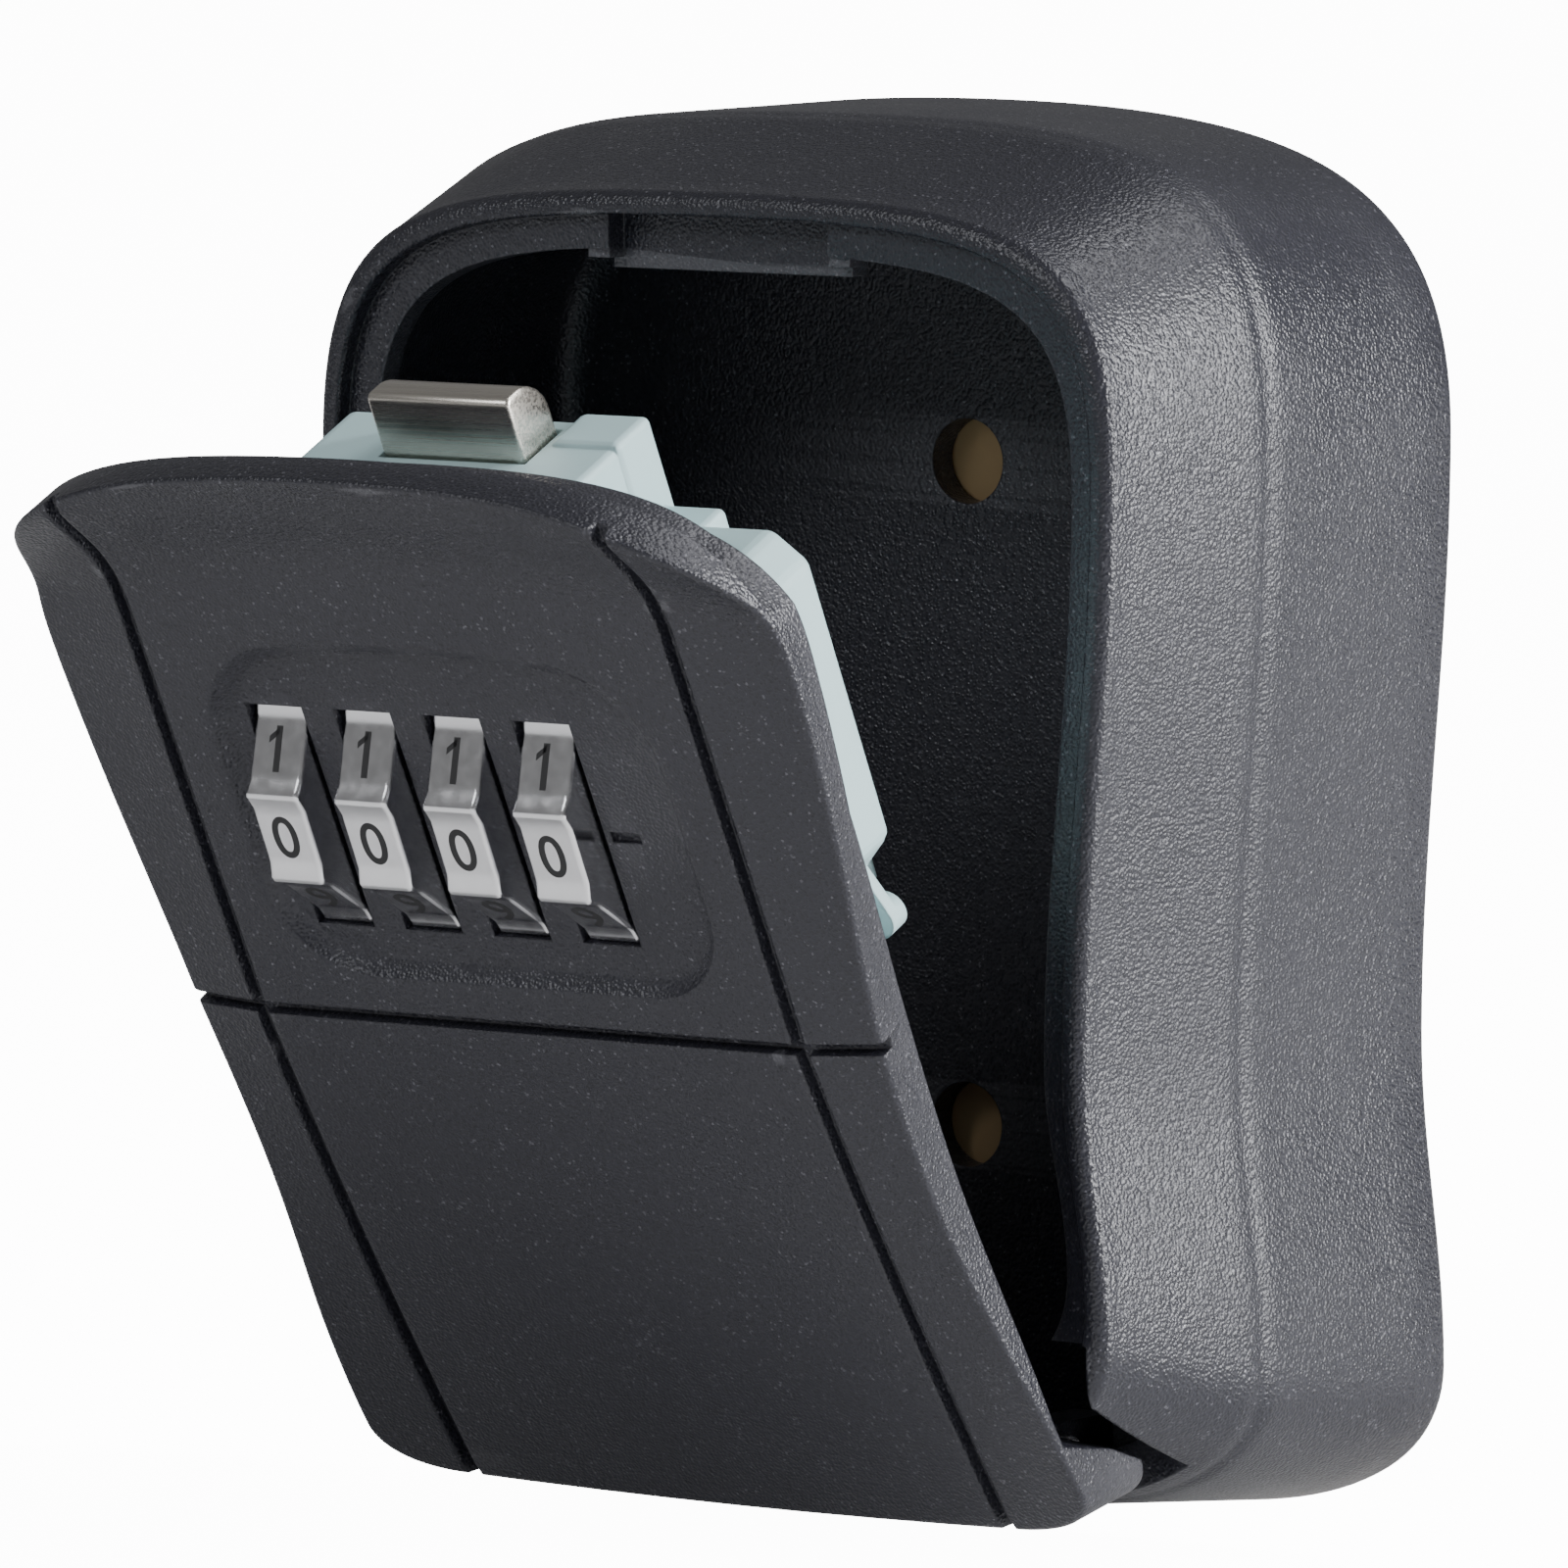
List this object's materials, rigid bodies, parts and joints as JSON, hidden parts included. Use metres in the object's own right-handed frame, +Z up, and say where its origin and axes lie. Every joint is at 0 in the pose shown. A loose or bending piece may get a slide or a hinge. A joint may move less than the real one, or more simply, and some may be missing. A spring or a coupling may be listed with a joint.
{
  "type": "key lock box",
  "caption": "Wall-mounted key lock box with a waisted cast case, a drop-open door on a bottom hinge, number dials, a sprung latch bolt and a moulded cover over the works",
  "frame": {"origin": "centre of the rear mounting face, in the wall's plane", "axes": "+Z up, +Y out of the rear face into the wall, -Y toward the user, +X to the user's right"},
  "size_m": [0.0948, 0.0976, 0.1199],
  "materials": {
    "housing": "fine wrinkle powder coat, charcoal",
    "door_shell": "fine wrinkle powder coat, charcoal",
    "backing_pad": "tan foam backing",
    "hinge_pin": "drawn steel",
    "pin_clip_left": "spring steel",
    "pin_clip_right": "spring steel",
    "mechanism_cover": "pale teal moulding, satin",
    "cover_screw_1": "plated, cross slot",
    "cover_screw_2": "plated, cross slot",
    "cover_screw_3": "plated, cross slot",
    "cover_screw_4": "plated, cross slot",
    "key_hook": "bright wire",
    "dial_carrier": "black moulding",
    "dial_axle": "ground steel",
    "detent_spring": "spring steel",
    "dial_1": "polished, engraved digits",
    "dial_2": "polished, engraved digits",
    "dial_3": "polished, engraved digits",
    "dial_4": "polished, engraved digits",
    "code_sleeve_1": "turned",
    "code_sleeve_2": "turned",
    "code_sleeve_3": "turned",
    "code_sleeve_4": "turned",
    "latch_bolt": "satin nickel plate",
    "lock_slide": "pressed steel",
    "latch_spring_left": "spring wire",
    "latch_spring_right": "spring wire",
    "reset_lever": "pale teal moulding",
    "reset_spring": "brass wire"
  },
  "bodies": {
    "case": {"housing": "housing", "backing_pad": "backing_pad", "hinge_pin": "hinge_pin", "pin_clip_left": "pin_clip_left", "pin_clip_right": "pin_clip_right"},
    "door": {"door_shell": "door_shell", "mechanism_cover": "mechanism_cover", "cover_screw_1": "cover_screw_1", "cover_screw_2": "cover_screw_2", "cover_screw_3": "cover_screw_3", "cover_screw_4": "cover_screw_4", "key_hook": "key_hook", "dial_carrier": "dial_carrier", "dial_axle": "dial_axle", "detent_spring": "detent_spring", "latch_spring_left": "latch_spring_left", "latch_spring_right": "latch_spring_right", "reset_spring": "reset_spring"},
    "dial_body_1": {"dial_1": "dial_1", "code_sleeve_1": "code_sleeve_1"},
    "dial_body_2": {"dial_2": "dial_2", "code_sleeve_2": "code_sleeve_2"},
    "dial_body_3": {"dial_3": "dial_3", "code_sleeve_3": "code_sleeve_3"},
    "dial_body_4": {"dial_4": "dial_4", "code_sleeve_4": "code_sleeve_4"},
    "latch": {"latch_bolt": "latch_bolt", "lock_slide": "lock_slide"},
    "reset": {"reset_lever": "reset_lever"}
  },
  "joints": [
    {"name": "door_hinge", "type": "hinge", "parent": "case", "child": "door", "pos_m": [0, -0.0363, -0.052], "axis": [1, 0, 0], "range_deg": [-26, 0]},
    {"name": "dial_turn_1", "type": "hinge", "parent": "door", "child": "dial_body_1", "pos_m": [-0.0168, -0.06809, 0.00648], "axis": [1, 0, 0], "continuous": true},
    {"name": "dial_turn_2", "type": "hinge", "parent": "door", "child": "dial_body_2", "pos_m": [-0.0076, -0.06809, 0.00648], "axis": [1, 0, 0], "continuous": true},
    {"name": "dial_turn_3", "type": "hinge", "parent": "door", "child": "dial_body_3", "pos_m": [0.0016, -0.06809, 0.00648], "axis": [1, 0, 0], "continuous": true},
    {"name": "dial_turn_4", "type": "hinge", "parent": "door", "child": "dial_body_4", "pos_m": [0.0108, -0.06809, 0.00648], "axis": [1, 0, 0], "continuous": true},
    {"name": "latch_slide", "type": "slide", "parent": "door", "child": "latch", "axis": [0, -0.4384, 0.8988], "range_m": [-0.003, 0], "stiffness_N_per_m": 400, "springref_m": 0.003, "deforming": ["latch_spring_left", "latch_spring_right"]},
    {"name": "reset_turn", "type": "hinge", "parent": "door", "child": "reset", "pos_m": [0.0236, -0.05851, -0.00008], "axis": [0, 0.8988, 0.4384], "range_deg": [0, 40]}
  ]
}
